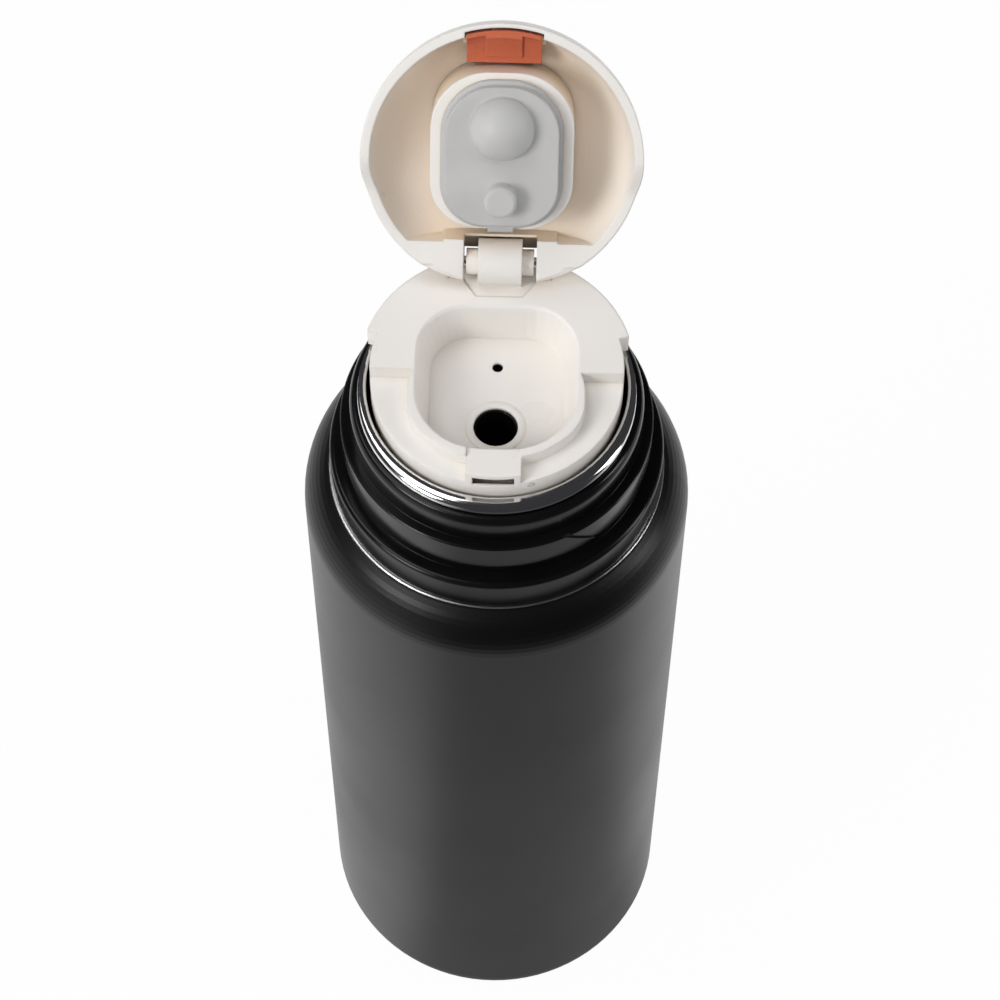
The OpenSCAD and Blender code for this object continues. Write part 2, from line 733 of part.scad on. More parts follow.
module cap_shell() {
    color(cream) opened() difference() {
        union() {
            difference() {
                dome_solid(cap_r, dome_r, rim_z, dome_z);
                dome_solid(cap_in_r, dome_r - cap_wall, rim_z - over, dome_z);
                // the rim rises in a soft curve towards the back
                translate([-cut_reach, 0, 0]) rotate([90, 0, 90]) linear_extrude(2 * cut_reach)
                    polygon(concat([[ramp_y, rim_z - over]],
                        [for (i = [0 : 10]) [ramp_y + (ramp_end_y - ramp_y) * i / 10,
                            rim_z + (back_rim_z - rim_z) * (1 - cos(18 * i)) / 2]],
                        [[cut_reach, back_rim_z], [cut_reach, rim_z - over]]));
            }
            // solid back that carries the pin
            intersection() {
                dome_solid(cap_r - 0.3, dome_r - 0.3, back_rim_z, dome_z);
                union() {
                    block([-back_step_x, back_wall_y, back_rim_z], [back_step_x, cut_reach, cap_top]);
                    block([-cut_reach, back_wall_y + back_step, back_rim_z],
                        [cut_reach, cut_reach, cap_top]);
                }
            }
            // posts that carry the seal holder
            for (x = [-post_x, post_x], y = post_ys) translate([x, y, holder_face + holder_plate])
                cylinder(r = post_r, h = cap_ceiling + over - holder_face - holder_plate);
            // lugs for the latch pin
            intersection() {
                dome_solid(cap_r - 0.3, dome_r - 0.3, rim_z, dome_z);
                for (side = [-1, 1]) translate([side * (lug_x + lug_t / 2), 0, 0]) {
                    x_cylinder(lug_half_w, lug_t / 2, latch_y, latch_z);
                    block([-lug_t / 2, latch_y - lug_half_w, latch_z],
                        [lug_t / 2, latch_y + lug_half_w, cap_top]);
                }
            }
        }
        cap_hinge_pocket();
        for (side = [-1, 1]) translate([side * (pocket_half_w + 2.65), 0, 0])
            x_cylinder(pin_r + run_gap, 2.65, hinge_y, hinge_z);
        // rounded lower corner of the ears
        difference() {
            block([-cap_r, hinge_y, back_rim_z - over], [cap_r, cut_reach, hinge_z]);
            ear_cones();
            x_cylinder(ear_end_r, cap_r, hinge_y, hinge_z);
        }
        latch_window();
        x_cylinder(latch_pin_r, lug_x + lug_t - 0.4, latch_y, latch_z);
    }
}

module seal_holder() {
    top = cap_ceiling - 0.3;
    color(cream) opened() difference() {
        intersection() {
            union() {
                difference() {
                    round_plate(holder_half_w, holder_front, holder_back, holder_corner,
                        holder_front_corner, holder_face, top);
                    round_plate(holder_half_w - holder_wall, holder_front - holder_wall,
                        holder_back - holder_wall, holder_corner - holder_wall,
                        holder_front_corner - holder_wall, holder_face + holder_plate, cap_top);
                }
                for (x = [-post_x, post_x], y = post_ys) translate([x, y, 0])
                    ring(post_r + 1.4, post_r + seat_gap, holder_face + holder_plate, holder_face + 6);
            }
            dome_solid(cap_in_r - 0.3, dome_r - cap_wall - 0.3, rim_z, dome_z);
        }
        translate([0, 0, holder_face - over])
            cylinder(r = seal_boss_r + seat_gap, h = holder_plate + 2 * over);
        block([-tab_half_w - 0.1, holder_back - holder_wall - over, holder_face - over],
            [tab_half_w + 0.1, holder_back + over, holder_face + 1.9]);
    }
}

module cap_seal() {
    face = holder_face - seal_h;
    peg_end = well_floor + touch_gap;
    ball_z = well_floor + spout_ring + 0.09 + sqrt(pow(plug_ball_r, 2) - pow(spout_r, 2));
    color(grey_silicone) opened() union() {
        round_plate(seal_half_w, seal_front, seal_back, seal_corner, seal_front_corner,
            holder_face - seal_flange, holder_face);
        round_plate(seal_half_w - seal_step, seal_front - seal_step, seal_back - seal_step,
            seal_corner - seal_step, seal_front_corner - seal_step, face, holder_face);
        translate([0, -spout_y, 0]) rotate_extrude() polygon(concat([[0, face + 0.5],
            [plug_dome_r, face + 0.5]],
            arc(0, ball_z, plug_ball_r, plug_ball_r, -acos(plug_dome_r / plug_ball_r), -90)));
        translate([0, vent_y, 0]) rotate_extrude() polygon([[0, face + 0.5], [vent_peg_r, face + 0.5],
            [vent_peg_r, peg_end + 0.6], [vent_peg_r - 0.6, peg_end], [0, peg_end]]);
        // button that snaps through the holder's plate
        translate([0, 0, holder_face - seal_flange / 2])
            cylinder(r = seal_boss_r, h = holder_plate + seal_flange);
        translate([0, 0, holder_face + holder_plate + 0.05])
            cylinder(r1 = seal_boss_r + 1.2, r2 = seal_boss_r, h = 1.6);
        // tongue towards the hinge
        block([-tab_half_w, seal_back - seal_step, holder_face - seal_flange],
            [tab_half_w, holder_back - 0.6, holder_face]);
        block([-tab_half_w, holder_back - holder_wall - 0.4, holder_face - seal_flange],
            [tab_half_w, holder_back + 0.3, holder_face + 1.8]);
    }
}

// Latch

module latch_button() {
    color(terracotta) opened() difference() {
        union() {
            // button that fills the window and follows the dome
            intersection() {
                difference() {
                    dome_solid(cap_r - button_sink, dome_r - button_sink, rim_z, dome_z);
                    dome_solid(cap_r - button_t, dome_r - button_t, rim_z - over, dome_z);
                }
                block([-button_half_w, -cap_r - over, window_low + button_gap],
                    [button_half_w, 0, cap_top]);
                x_cylinder(button_reach, button_half_w, latch_y, latch_z);
            }
            // body around the pin
            x_cylinder(boss_r, button_half_w, latch_y, latch_z);
            intersection() {
                cylinder(r = arm_in_r, h = cap_top);
                block([-button_half_w, -cap_r, latch_z - boss_r],
                    [button_half_w, latch_y, latch_z + boss_r]);
            }
            intersection() {
                cylinder(r = arm_in_r, h = cap_top);
                union() {
                    block([-latch_half_w, -cap_r, plate_low],
                        [latch_half_w, -plate_back, plate_low + plate_t]);
                    block([-hook_half_w, -cap_r, plate_low - 0.5],
                        [hook_half_w, -plate_back - 1.5, plate_low + plate_t]);
                }
                dome_solid(cap_in_r - over, dome_r - cap_wall - over, rim_z, dome_z);
            }
            // arm in front of the catch block
            intersection() {
                union() {
                    ring(arm_out_r, arm_in_r - over, nose_low, window_low + 2);
                    ring(arm_out_r + arm_step, arm_in_r - over, arm_step_z, window_low + 2);
                }
                union() {
                    block([-latch_half_w, -cap_r, nose_low], [latch_half_w, 0, plate_low + plate_t - 0.2]);
                    block([-hook_half_w, -cap_r, nose_low], [hook_half_w, -arm_in_r + 2.5, window_low + 2]);
                }
                union() {
                    ring(cap_r, arm_in_r, nose_low, cap_top);
                    block([-latch_half_w, -cap_r, plate_low - 0.5], [latch_half_w, 0, cap_top]);
                }
            }
            // nose under the lip of the block
            intersection() {
                ring(arm_in_r + 0.2, nose_in_r, nose_low, nose_low + nose_h);
                block([-hook_half_w, -cap_r, nose_low], [hook_half_w, 0, nose_low + nose_h]);
            }
        }
        x_cylinder(latch_pin_r + run_gap, latch_half_w + over, latch_y, latch_z);
        // room for the spring's coil
        x_cylinder(coil_r + spring_wire_r + 0.3, coil_half + 0.3, latch_y, latch_z);
        block([-coil_half - 0.3, latch_y, latch_z - 0.4], [coil_half + 0.3, latch_y + 6, latch_z + 6]);
    }
}

module latch_pin() {
    color(bright_steel) opened() x_cylinder(latch_pin_r, lug_x + lug_t - 0.4, latch_y, latch_z);
}

module latch_spring() {
    sides = 8;
    count = coil_turns * 20;
    color(bright_steel) opened() translate([0, latch_y, latch_z]) {
        // coil along X
        swept_ridge([for (i = [0 : count]) let (
                a = 360 * coil_turns * i / count,
                x = (2 * i / count - 1) * (coil_half - spring_wire_r))
            [for (j = [0 : sides - 1]) let (b = 360 * j / sides, r = coil_r + spring_wire_r * cos(b))
                [x + spring_wire_r * sin(b), r * cos(a), r * sin(a)]]]);
        // leg against the cap's ceiling
        translate([coil_half - spring_wire_r, coil_r, 0]) rotate([-12, 0, 0])
            cylinder(r = spring_wire_r, h = 4, $fn = 8);
    }
}

outer_shell();
shoulder_ring();
cup_collar();
collar_seal();
inner_liner();
heat_foil();
base_plate();
base_cover();
vacuum_plug();
getter();
stopper_top();
plug_body();
plug_foam();
spout_tube();
vent_tube();
neck_gasket();
hinge_pin();
cap_shell();
seal_holder();
cap_seal();
latch_button();
latch_pin();
latch_spring();
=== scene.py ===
import math

import bpy
from mathutils import Matrix, Vector

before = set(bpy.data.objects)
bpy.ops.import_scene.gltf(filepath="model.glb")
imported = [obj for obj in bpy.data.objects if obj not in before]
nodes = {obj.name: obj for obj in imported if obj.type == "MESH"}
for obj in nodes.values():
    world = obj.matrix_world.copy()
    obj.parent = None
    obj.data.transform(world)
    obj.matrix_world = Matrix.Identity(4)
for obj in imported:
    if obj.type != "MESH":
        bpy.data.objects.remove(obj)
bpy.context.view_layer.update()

# ---------------------------------------------------------------------------
# Outer shell: one deep-drawn stainless sheet, from the turned-in foot to the rim of the neck.
# The body and shoulder are powder coated black, with the faint pebbled grain of a fused
# coating; the neck above the shoulder is masked off and stays polished steel.


def height_span(name):
    """Heights of the lowest and the highest point of a CAD node."""
    heights = [corner[2] for corner in nodes[name].bound_box]
    return min(heights), max(heights)


RING_FOOT = height_span("shoulder_ring")[0]
COAT_BLACK = (0.0016, 0.0016, 0.0018, 1)
COAT_RUBBED = (0.0042, 0.0042, 0.0044, 1)
BARE_STEEL = (0.80, 0.795, 0.785, 1)
BARE_ROUGHNESS = 0.09
COAT_END = RING_FOOT - 0.0002           # height at which the coating is masked off
NECK_EDGE = 0.0358                      # radius inside which the sheet is bare


def feed(tree, socket, value):
    """Links a node's output to a socket, or sets the socket to a number or colour."""
    if isinstance(value, bpy.types.NodeSocket):
        tree.links.new(value, socket)
    else:
        socket.default_value = value


def wire(tree, node, **values):
    """Feeds a node's inputs by their names, with _ for a space."""
    for name, value in values.items():
        feed(tree, node.inputs[name.replace("_", " ")], value)


def new_material(name):
    """A node material with an empty tree but for its output and one Principled shader."""
    material = bpy.data.materials.new(name)
    material.use_nodes = True
    tree = material.node_tree
    tree.nodes.clear()
    output = tree.nodes.new("ShaderNodeOutputMaterial")
    shader = tree.nodes.new("ShaderNodeBsdfPrincipled")
    tree.links.new(shader.outputs[0], output.inputs["Surface"])
    return material, tree, shader


def new_group(name, ins, outs):
    """An empty shader node group: ins are (socket, type, default), outs are (socket, type)."""
    group = bpy.data.node_groups.new(name, "ShaderNodeTree")
    for label, kind, value in ins:
        socket = group.interface.new_socket(label, in_out="INPUT", socket_type="NodeSocket" + kind)
        socket.default_value = value
    for label, kind in outs:
        group.interface.new_socket(label, in_out="OUTPUT", socket_type="NodeSocket" + kind)
    return group, group.nodes.new("NodeGroupInput"), group.nodes.new("NodeGroupOutput")


def place(tree, group, **values):
    """Puts a node group in a tree, feeds its named inputs and gives its outputs."""
    node = tree.nodes.new("ShaderNodeGroup")
    node.node_tree = group
    wire(tree, node, **values)
    return node.outputs


def calc(tree, operation, *values):
    """One operation of the Math node on numbers or outputs."""
    node = tree.nodes.new("ShaderNodeMath")
    node.operation = operation
    for socket, value in zip(node.inputs, values):
        feed(tree, socket, value)
    return node.outputs[0]


def vector_calc(tree, operation, *vectors):
    """One operation of the Vector Math node; LENGTH gives a number, the others a vector."""
    node = tree.nodes.new("ShaderNodeVectorMath")
    node.operation = operation
    for socket, value in zip(node.inputs, vectors):
        feed(tree, socket, value)
    return node.outputs["Value" if operation == "LENGTH" else "Vector"]


def blend(tree, kind, share, first, second):
    """Goes from first to second as share goes from 0 to 1; kind is the Mix node's data type."""
    node = tree.nodes.new("ShaderNodeMix")
    node.data_type = kind
    wire(tree, node, Factor=share, A=first, B=second)
    return node.outputs["Result"]


def ramp(tree, value, start, end, to_start=0, to_end=1, smooth=False):
    """Goes from to_start to to_end as value goes from start to end, and stays there beyond."""
    node = tree.nodes.new("ShaderNodeMapRange")
    node.interpolation_type = "SMOOTHSTEP" if smooth else "LINEAR"
    wire(tree, node, Value=value, From_Min=start, From_Max=end, To_Min=to_start, To_Max=to_end)
    return node.outputs[0]


def noise(tree, where, scale, detail):
    """Cloudy noise from 0 to 1, with scale lumps to each unit of where."""
    node = tree.nodes.new("ShaderNodeTexNoise")
    wire(tree, node, Vector=where, Scale=scale, Detail=detail)
    return node.outputs["Fac"]


def raised(tree, height, strength, depth, under=None):
    """Normal of a surface raised by height, which goes from 0 to 1, on the normal under it."""
    node = tree.nodes.new("ShaderNodeBump")
    wire(tree, node, Height=height, Strength=strength, Distance=depth)
    if under is not None:
        feed(tree, node.inputs["Normal"], under)
    return node.outputs[0]


def split(tree, vector):
    """The X, Y and Z outputs of a vector."""
    node = tree.nodes.new("ShaderNodeSeparateXYZ")
    feed(tree, node.inputs[0], vector)
    return node.outputs


def joined(tree, **parts):
    """A vector of the given X, Y and Z; a part that isn't given is 0."""
    node = tree.nodes.new("ShaderNodeCombineXYZ")
    wire(tree, node, **parts)
    return node.outputs[0]


def object_place(tree):
    """Object coordinates, in metres in the flask's own frame."""
    return tree.nodes.new("ShaderNodeTexCoord").outputs["Object"]


def around_axis(tree):
    """Object place as X, Y and Z outputs, as its flat part (X, Y, 0), and that part's length."""
    xyz = split(tree, object_place(tree))
    flat = joined(tree, X=xyz["X"], Y=xyz["Y"])
    return xyz, flat, vector_calc(tree, "LENGTH", flat)


def paint(node, material):
    """Gives a carried-over CAD node its finish."""
    piece = nodes[node]
    piece.data.materials.clear()
    piece.data.materials.append(material)


# Fine noise of one size as the grain's height from 0 to 1, and a slow noise that shifts the
# gloss up or down by Drift, since no sheen is even over a whole piece.
surface_grain, group_in, group_out = new_group(
    "Surface grain",
    [("Grain size", "Float", 0.0004), ("Drift size", "Float", 0.03),
     ("Roughness", "Float", 0.4), ("Drift", "Float", 0.05)],
    [("Height", "Float"), ("Roughness", "Float"), ("Mask", "Float")])
where = object_place(surface_grain)
grains = calc(surface_grain, "DIVIDE", 1, group_in.outputs["Grain size"])
clouds = calc(surface_grain, "DIVIDE", 1, group_in.outputs["Drift size"])
fine = noise(surface_grain, where, scale=grains, detail=2)
slow = noise(surface_grain, where, scale=clouds, detail=3)
swing = ramp(surface_grain, slow, 0.3, 0.7, to_start=-1)
sheen = calc(surface_grain, "MULTIPLY_ADD", swing, group_in.outputs["Drift"],
             group_in.outputs["Roughness"])
wire(surface_grain, group_out, Height=fine, Roughness=sheen, Mask=slow)

coated, tree, shader = new_material("Black powder coat on steel")
skin = place(tree, surface_grain, Grain_size=0.00042, Drift_size=0.05, Roughness=0.36, Drift=0.03)
xyz, flat, radius = around_axis(tree)
inside = calc(tree, "LESS_THAN", radius, NECK_EDGE)
above = calc(tree, "GREATER_THAN", xyz["Z"], COAT_END)
bare = calc(tree, "MULTIPLY", inside, above)
coat_colour = blend(tree, "RGBA", skin["Mask"], COAT_BLACK, COAT_RUBBED)
pebbles = calc(tree, "MULTIPLY", skin["Height"], calc(tree, "SUBTRACT", 1, bare))
wire(tree, shader, Base_Color=blend(tree, "RGBA", bare, coat_colour, BARE_STEEL), Metallic=bare,
     Roughness=blend(tree, "FLOAT", bare, skin["Roughness"], BARE_ROUGHNESS),
     Normal=raised(tree, pebbles, strength=0.35, depth=0.00006), Specular_IOR_Level=0.27)
paint("outer_shell", coated)

# ---------------------------------------------------------------------------
# Polished steel: the liner with its rolled lip, the bare ring left under the collar, and the
# small pins. Drawn and mechanically polished, so it keeps faint circular lines.
DRAWN_SCALE = (8, 8, 900)               # squeezes noise along the axis into lines round it
STEEL_DULL = (0.76, 0.755, 0.745, 1)
STEEL_BRIGHT = (0.84, 0.835, 0.825, 1)
LINE_STRENGTH, LINE_DEPTH = 0.05, 0.00002
LIP_TOP = height_span("inner_liner")[1]
LIP_CROWN = LIP_TOP - 0.0003            # height at which the lip's sheen faces up
LIP_FOOT = LIP_CROWN - 0.005            # and below which it faces out
LIP_OUT = 0.0318                        # radius beyond which the curl faces out
SATIN_EDGE = 0.0006                     # edge radius that polishing leaves


def soften(tree, radius, height, strength, depth):
    """Normal of a piece whose edges are rounded by radius, with its grain on top."""
    edge = tree.nodes.new("ShaderNodeBevel")
    edge.samples = 6
    edge.inputs["Radius"].default_value = radius
    return raised(tree, height, strength, depth, under=edge.outputs[0])


def bright_steel(name, roughness):
    """Drawn steel with faint lines round the bottle; gives the lines' height for its normal."""
    material, tree, shader = new_material(name)
    skin = place(tree, surface_grain, Grain_size=0.0009, Drift_size=0.02, Roughness=roughness, Drift=0.015)
    drawn_round = tree.nodes.new("ShaderNodeMapping")
    wire(tree, drawn_round, Vector=object_place(tree), Scale=DRAWN_SCALE)
    lines = noise(tree, drawn_round.outputs[0], scale=5, detail=3)
    wire(tree, shader, Metallic=1, Base_Color=blend(tree, "RGBA", lines, STEEL_DULL, STEEL_BRIGHT),
         Roughness=skin["Roughness"])
    return material, tree, shader, lines


# The lip is rolled over a mandrel, so its sheen turns smoothly from outward at the foot of the
# curl to upward at its crown. The rest of the liner keeps its own normal.
rolled_lip, group_in, group_out = new_group("Rolled lip", [], [("Normal", "Vector")])
xyz, flat, radius = around_axis(rolled_lip)
lean = ramp(rolled_lip, xyz["Z"], LIP_FOOT, LIP_CROWN, to_end=math.pi / 2)
level_part = calc(rolled_lip, "COSINE", lean)
outward = vector_calc(rolled_lip, "MULTIPLY", vector_calc(rolled_lip, "NORMALIZE", flat),
                      joined(rolled_lip, X=level_part, Y=level_part))
upward = joined(rolled_lip, Z=calc(rolled_lip, "SINE", lean))
curl = vector_calc(rolled_lip, "ADD", outward, upward)
beyond = calc(rolled_lip, "GREATER_THAN", radius, LIP_OUT)
above = calc(rolled_lip, "GREATER_THAN", xyz["Z"], LIP_FOOT)
on_lip = calc(rolled_lip, "MULTIPLY", beyond, above)
own_normal = rolled_lip.nodes.new("ShaderNodeNewGeometry").outputs["Normal"]
wire(rolled_lip, group_out, Normal=blend(rolled_lip, "VECTOR", on_lip, own_normal, curl))

polished, tree, shader, lines = bright_steel("Polished stainless steel", 0.085)
roll = place(tree, rolled_lip)
wire(tree, shader, Normal=raised(tree, lines, LINE_STRENGTH, LINE_DEPTH, under=roll["Normal"]))
paint("inner_liner", polished)

satin, tree, shader, lines = bright_steel("Satin stainless steel", 0.24)
wire(tree, shader, Normal=soften(tree, SATIN_EDGE, lines, LINE_STRENGTH, LINE_DEPTH))
for name in ("shoulder_ring", "hinge_pin", "latch_pin", "latch_spring"):
    paint(name, satin)

# ---------------------------------------------------------------------------
# Base: the cover pressed into the foot, the pressure plate above it and the brazed plug.
# Spun stainless, brushed in circles about the bottle's axis.
BRUSH_DULL = (0.50, 0.495, 0.485, 1)
BRUSH_BRIGHT = (0.72, 0.715, 0.705, 1)
LINES_PER_METRE = 2600                  # of brushing, counted along a radius

brushed, tree, shader = new_material("Circle-brushed stainless steel")
xyz, flat, radius = around_axis(tree)
turn = calc(tree, "ARCTAN2", xyz["Y"], xyz["X"])
ring_place = joined(tree, X=calc(tree, "MULTIPLY", radius, LINES_PER_METRE), Y=calc(tree, "SINE", turn))
lines = noise(tree, ring_place, scale=1, detail=4)
wire(tree, shader, Metallic=1, Base_Color=blend(tree, "RGBA", lines, BRUSH_DULL, BRUSH_BRIGHT),
     Roughness=ramp(tree, lines, 0, 1, to_start=0.22, to_end=0.42),
     Normal=raised(tree, lines, strength=0.25, depth=0.00003))
for name in ("base_cover", "base_plate", "vacuum_plug"):
    paint(name, brushed)

# ---------------------------------------------------------------------------
# Vacuum space: the copper-coloured foil rolled round the liner and the sintered getter pellet.
# Both are hidden once the shells are welded; the foil is creased where it was pressed on.


def grained(name, dark, light, follows, **grain):
    """A material on the shared grain. Its colour goes from dark to light with the output of the
    grain that follows names, and its gloss drifts; gives the grain's height for its normal."""
    material, tree, shader = new_material(name)
    skin = place(tree, surface_grain, **grain)
    wire(tree, shader, Base_Color=blend(tree, "RGBA", skin[follows], dark, light),
         Roughness=skin["Roughness"])
    return material, tree, shader, skin["Height"]


foil, tree, shader, height = grained(
    "Copper-coloured foil", (0.66, 0.34, 0.20, 1), (0.80, 0.46, 0.30, 1), "Mask",
    Grain_size=0.004, Drift_size=0.02, Roughness=0.3, Drift=0.08)
wire(tree, shader, Metallic=1, Normal=raised(tree, height, strength=0.5, depth=0.0003))
paint("heat_foil", foil)

pellet, tree, shader, height = grained(
    "Sintered getter", (0.10, 0.10, 0.10, 1), (0.30, 0.30, 0.29, 1), "Height",
    Grain_size=0.0003, Drift_size=0.004, Roughness=0.75, Drift=0.1)
wire(tree, shader, Metallic=0.6, Normal=raised(tree, height, strength=0.6, depth=0.0001))
paint("getter", pellet)

# ---------------------------------------------------------------------------
# Cup collar: a glossy black moulding shrunk over the neck, with the band the cup screws on,
# and the black ring seal inside it. The stopper's two tubes are of the same plastic.
BLACK_EDGE = 0.00028                    # edge radius that the mould leaves

black, tree, shader, height = grained(
    "Black moulded plastic", (0.0022, 0.0022, 0.0024, 1), (0.0060, 0.0060, 0.0062, 1), "Mask",
    Grain_size=0.0006, Drift_size=0.015, Roughness=0.18, Drift=0.05)
wire(tree, shader, Normal=soften(tree, BLACK_EDGE, height, strength=0.08, depth=0.00002),
     Specular_IOR_Level=0.25)
for name in ("cup_collar", "spout_tube", "vent_tube"):
    paint(name, black)

seal_black, tree, shader, height = grained(
    "Black rubber", (0.014, 0.014, 0.014, 1), (0.028, 0.028, 0.028, 1), "Mask",
    Grain_size=0.0005, Drift_size=0.01, Roughness=0.62, Drift=0.06)
wire(tree, shader, Normal=raised(tree, height, strength=0.2, depth=0.00003))
paint("collar_seal", seal_black)

# ---------------------------------------------------------------------------
# Stopper and flip cap: cream polypropylene mouldings with a soft gloss and slightly rounded
# edges; the hollow stopper is filled with white foam. Shade is painted into the cream's colour
# in its hollows and slots.
CREAM_DULL = (0.812, 0.780, 0.738, 1)
CREAM_BRIGHT = (0.838, 0.812, 0.775, 1)
# painted shade of the stopper's hollows, where walls stand close
CREAM_PAINTED_SHADE = (0.795, 0.756, 0.694, 1)
CAP_PAINTED_SHADE = (0.852, 0.716, 0.560, 1)   # painted shade: the deep inside of the cap is painted warmer and darker
SLOT_PAINTED_SHADE = (0.075, 0.040, 0.028, 1)    # painted shade: narrow slots are painted near black, as if no light came back out
WALL_REACH = 0.016                      # how near a wall has to be for its shade to be painted
CREAM_EDGE = 0.0007                     # edge radius that the mould leaves


def cream_plastic(name, painted_shade_colour):
    """Cream plastic with painted shade: its colour is painted darker, towards the given shade colour,
    where walls stand close, and near black in narrow slots.
    """
    material, tree, shader = new_material(name)
    skin = place(tree, surface_grain, Grain_size=0.0005, Drift_size=0.02, Roughness=0.31, Drift=0.04)
    near = tree.nodes.new("ShaderNodeAmbientOcclusion")
    near.samples = 8
    near.inputs["Distance"].default_value = WALL_REACH
    colour = blend(tree, "RGBA", skin["Mask"], CREAM_DULL, CREAM_BRIGHT)
    # painted shade: darker where the occlusion finds walls close, near black in narrow slots
    for shut, wide, shade in ((0.15, 0.85, painted_shade_colour), (0.02, 0.13, SLOT_PAINTED_SHADE)):
        hollow = ramp(tree, near.outputs["AO"], shut, wide, to_start=1, to_end=0, smooth=True)
        colour = blend(tree, "RGBA", hollow, colour, shade)
    wire(tree, shader, Base_Color=colour, Roughness=skin["Roughness"],
         Normal=soften(tree, CREAM_EDGE, skin["Height"], strength=0.05, depth=0.00002),
         Specular_IOR_Level=0.35)
    return material


cream = cream_plastic("Cream moulded plastic", CREAM_PAINTED_SHADE)
for name in ("stopper_top", "plug_body"):
    paint(name, cream)
# the cap's copy is painted a warmer, darker shade in its hollows
cream_warm_painted_shade = cream_plastic("Cream moulded plastic, cap, warm painted shade", CAP_PAINTED_SHADE)
for name in ("cap_shell", "seal_holder"):
    paint(name, cream_warm_painted_shade)

foam, tree, shader, height = grained(
    "White foam", (0.78, 0.78, 0.76, 1), (0.90, 0.90, 0.88, 1), "Height",
    Grain_size=0.0008, Drift_size=0.006, Roughness=0.85, Drift=0.05)
wire(tree, shader, Normal=raised(tree, height, strength=0.7, depth=0.0002))
paint("plug_foam", foam)

# ---------------------------------------------------------------------------
# Silicone: the seal in the flip cap, with its dome for the spout and its peg for the vent, and
# the gasket round the plug. Matte grey, moulded in one shot.
SILICONE_EDGE = 0.0009                  # edge radius that the mould leaves

silicone, tree, shader, height = grained(
    "Grey silicone", (0.475, 0.470, 0.462, 1), (0.530, 0.524, 0.515, 1), "Mask",
    Grain_size=0.0004, Drift_size=0.008, Roughness=0.5, Drift=0.05)
wire(tree, shader, Normal=soften(tree, SILICONE_EDGE, height, strength=0.12, depth=0.00003),
     Sheen_Weight=0.15)
for name in ("cap_seal", "neck_gasket"):
    paint(name, silicone)

# ---------------------------------------------------------------------------
# Latch: a terracotta rocker in the cap's front; pressing its outer end swings the hook free.
# One moulding of dyed plastic, a little glossier than the cap.
LATCH_EDGE = 0.00035                    # edge radius that the mould leaves

clay, tree, shader, height = grained(
    "Terracotta moulded plastic", (0.53, 0.125, 0.060, 1), (0.58, 0.150, 0.075, 1), "Mask",
    Grain_size=0.0005, Drift_size=0.008, Roughness=0.27, Drift=0.04)
wire(tree, shader, Normal=soften(tree, LATCH_EDGE, height, strength=0.06, depth=0.00002))
paint("latch_button", clay)

# ---------------------------------------------------------------------------
# Studio: a white floor, a room that is pale at the horizon and dim overhead, three softboxes
# and a soft fill, and a camera that looks down on the open flask. The room is dark in front, on
# the camera's side, and lit all round the rest; mirrored in the flask, the floor follows it, with
# painted shade: its reflection is painted grey close to the flask and dark further off in front.
WHITE = (1, 1, 1, 1)
PAPER = (0.86, 0.86, 0.86, 1)
MIRRORED_SHADE_NEAR = (0.55, 0.55, 0.56, 1)   # painted shadow: the unlit floor as the flask mirrors it, close to the flask
MIRRORED_SHADE_FAR = (0.05, 0.05, 0.055, 1)   # and further off, painted darker
NEAR_END, FAR_START = 0.20, 0.42        # radii between which the one turns into the other
GLOW_SHARE = 0.97                       # share of the floor's look that takes no shadow
FLOOR_HALF = 9                          # half the floor's width

# Lit goes from 0 in front of the flask to 1 past the end of either side's sector, with the
# angle measured in radians from straight ahead; Far goes from 0 to 1 with the distance.
lit_side, group_in, group_out = new_group(
    "Lit side",
    [("Place", "Vector", (0, 0, 0)), ("Left start", "Float", -0.35), ("Left end", "Float", -0.85),
     ("Right start", "Float", 1.0), ("Right end", "Float", 1.65)],
    [("Lit", "Float"), ("Far", "Float")])
xyz = split(lit_side, group_in.outputs["Place"])
turn = calc(lit_side, "ARCTAN2", xyz["X"], calc(lit_side, "MULTIPLY", xyz["Y"], -1))
sides = [ramp(lit_side, turn, group_in.outputs[side + " start"], group_in.outputs[side + " end"],
              smooth=True) for side in ("Left", "Right")]
distance = vector_calc(lit_side, "LENGTH", group_in.outputs["Place"])
wire(lit_side, group_out, Lit=calc(lit_side, "MAXIMUM", *sides),
     Far=ramp(lit_side, distance, NEAR_END, FAR_START, smooth=True))

floor_mesh = bpy.data.meshes.new("floor")
corners = [(x * FLOOR_HALF, y * FLOOR_HALF, 0) for x, y in ((-1, -1), (1, -1), (1, 1), (-1, 1))]
floor_mesh.from_pydata(corners, [], [(0, 1, 2, 3)])
floor = bpy.data.objects.new("floor", floor_mesh)
bpy.context.collection.objects.link(floor)
material = bpy.data.materials.new("Floor")
material.use_nodes = True
tree = material.node_tree
tree.nodes.clear()
output = tree.nodes.new("ShaderNodeOutputMaterial")
paper = tree.nodes.new("ShaderNodeBsdfDiffuse")
glow = tree.nodes.new("ShaderNodeEmission")
mix = tree.nodes.new("ShaderNodeMixShader")
side = place(tree, lit_side, Place=object_place(tree))
# painted shade and shadow: the floor's reflection is grey close to the flask, dark further off in front,
# white on the lit sides
mirrored = blend(tree, "RGBA", side["Far"], MIRRORED_SHADE_NEAR, MIRRORED_SHADE_FAR)
mirrored = blend(tree, "RGBA", side["Lit"], mirrored, WHITE)
path = tree.nodes.new("ShaderNodeLightPath").outputs
seen = calc(tree, "MAXIMUM", path["Is Camera Ray"], path["Is Glossy Ray"])
seen = calc(tree, "MAXIMUM", seen, path["Is Transmission Ray"])
wire(tree, paper, Color=PAPER)
wire(tree, glow, Color=blend(tree, "RGBA", path["Is Glossy Ray"], WHITE, mirrored), Strength=1)
feed(tree, mix.inputs["Fac"], calc(tree, "MULTIPLY", seen, GLOW_SHARE))
feed(tree, mix.inputs[1], paper.outputs[0])
feed(tree, mix.inputs[2], glow.outputs[0])
wire(tree, output, Surface=mix.outputs[0])
floor_mesh.materials.append(material)

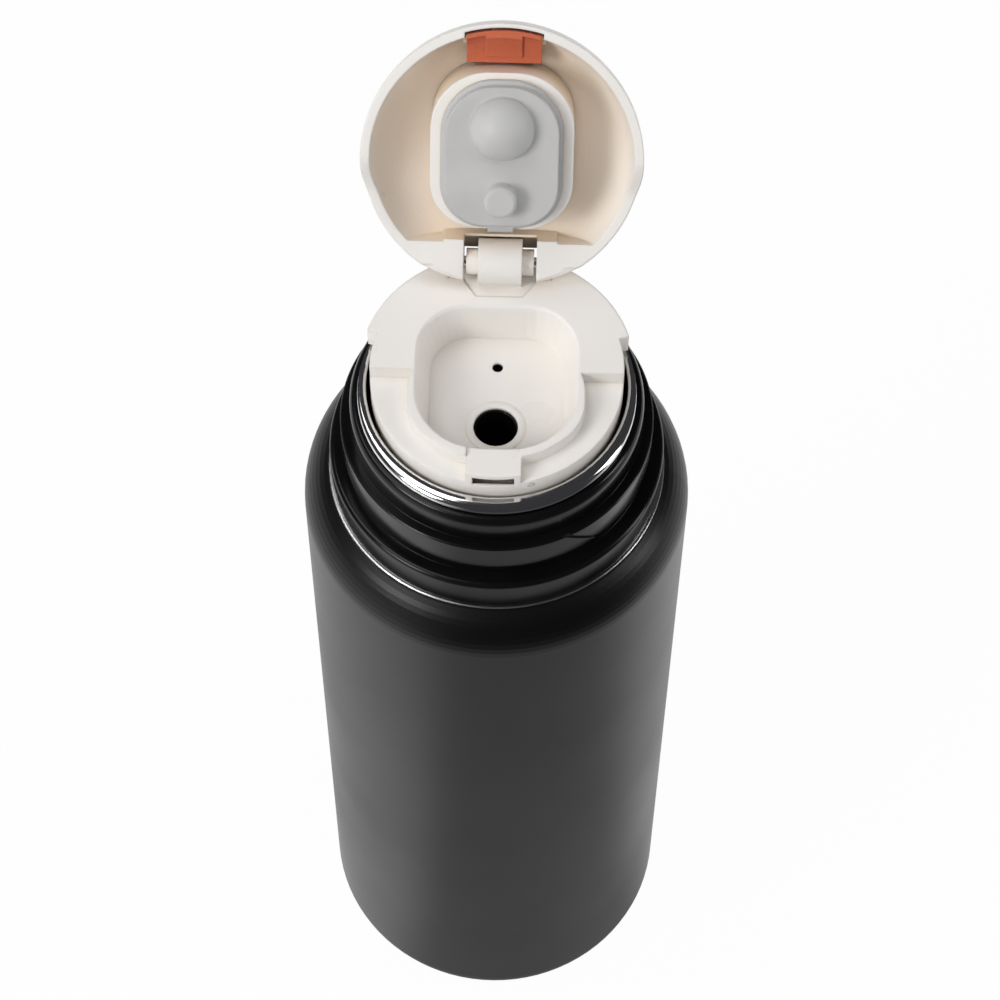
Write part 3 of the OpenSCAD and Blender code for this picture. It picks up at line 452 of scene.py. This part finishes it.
# Mirrored, the pale horizon is a low bright band; as light on the flask it is higher and softer.
world = bpy.data.worlds.new("Studio")
bpy.context.scene.world = world
world.use_nodes = True
tree = world.node_tree
tree.nodes.clear()
output = tree.nodes.new("ShaderNodeOutputWorld")
sky = tree.nodes.new("ShaderNodeBackground")
direction = tree.nodes.new("ShaderNodeTexCoord").outputs["Generated"]
climb = split(tree, direction)["Z"]
side = place(tree, lit_side, Place=direction, Left_start=-0.25, Left_end=-0.50)
rooms = []
for band_top, dark_start, dim, pale in ((0.16, 0.42, 0.12, 0.90), (-0.06, 0.16, 0.04, 1.0)):
    low = ramp(tree, climb, band_top, dark_start, to_start=1, to_end=0, smooth=True)
    rooms.append(blend(tree, "RGBA", calc(tree, "MULTIPLY", low, side["Lit"]),
                       (dim, dim, dim * 1.1, 1), (pale, pale, pale, 1)))
path = tree.nodes.new("ShaderNodeLightPath").outputs
room = blend(tree, "RGBA", path["Is Glossy Ray"], *rooms)
wire(tree, sky, Color=blend(tree, "RGBA", path["Is Camera Ray"], room, WHITE))
wire(tree, output, Surface=sky.outputs[0])

TARGET = Vector((0, 0, 0.26))           # the stopper, at which every lamp points
for name, spot, size, watts in (
        ("softbox_over", (-0.45, 0.15, 1.40), (0.8, 0.6), 4.5),
        ("softbox_left", (-0.95, -0.75, 1.05), (0.55, 0.6), 11.5),
        ("softbox_right", (1.15, -0.10, 0.80), (0.3, 0.9), 4.5),
        ("fill_front", (0.15, -0.95, 1.30), (0.8, 0.5), 3.4)):
    lamp = bpy.data.lights.new(name, "AREA")
    lamp.shape = "RECTANGLE"
    lamp.size, lamp.size_y = size
    lamp.energy = watts
    stand = bpy.data.objects.new(name, lamp)
    bpy.context.collection.objects.link(stand)
    stand.location = spot
    stand.rotation_euler = (TARGET - Vector(spot)).to_track_quat("-Z", "Y").to_euler()
    stand.visible_glossy = not name.startswith("fill")

EYE = Vector((0.0101, -0.3990, 0.8950))
TURNED = math.radians(1.45)             # to the left of the line from front to back
DOWN = math.radians(59.71)
ROLLED = math.radians(0.24)
cam_data = bpy.data.cameras.new("camera")
cam_data.sensor_width = 36
cam_data.lens = 112.9
cam_data.shift_x = 0.0036
cam_data.clip_start = 0.05
cam_data.clip_end = 50
camera = bpy.data.objects.new("camera", cam_data)
bpy.context.collection.objects.link(camera)
ahead = Vector((-math.sin(TURNED) * math.cos(DOWN), math.cos(TURNED) * math.cos(DOWN), -math.sin(DOWN)))
level = Vector((math.cos(TURNED), math.sin(TURNED), 0))
right = level * math.cos(ROLLED) + level.cross(ahead) * math.sin(ROLLED)
up = right.cross(ahead)
camera.matrix_world = Matrix((
    (right.x, up.x, -ahead.x, EYE.x), (right.y, up.y, -ahead.y, EYE.y),
    (right.z, up.z, -ahead.z, EYE.z), (0, 0, 0, 1)))
bpy.context.scene.camera = camera
bpy.context.scene.view_settings.view_transform = "Standard"
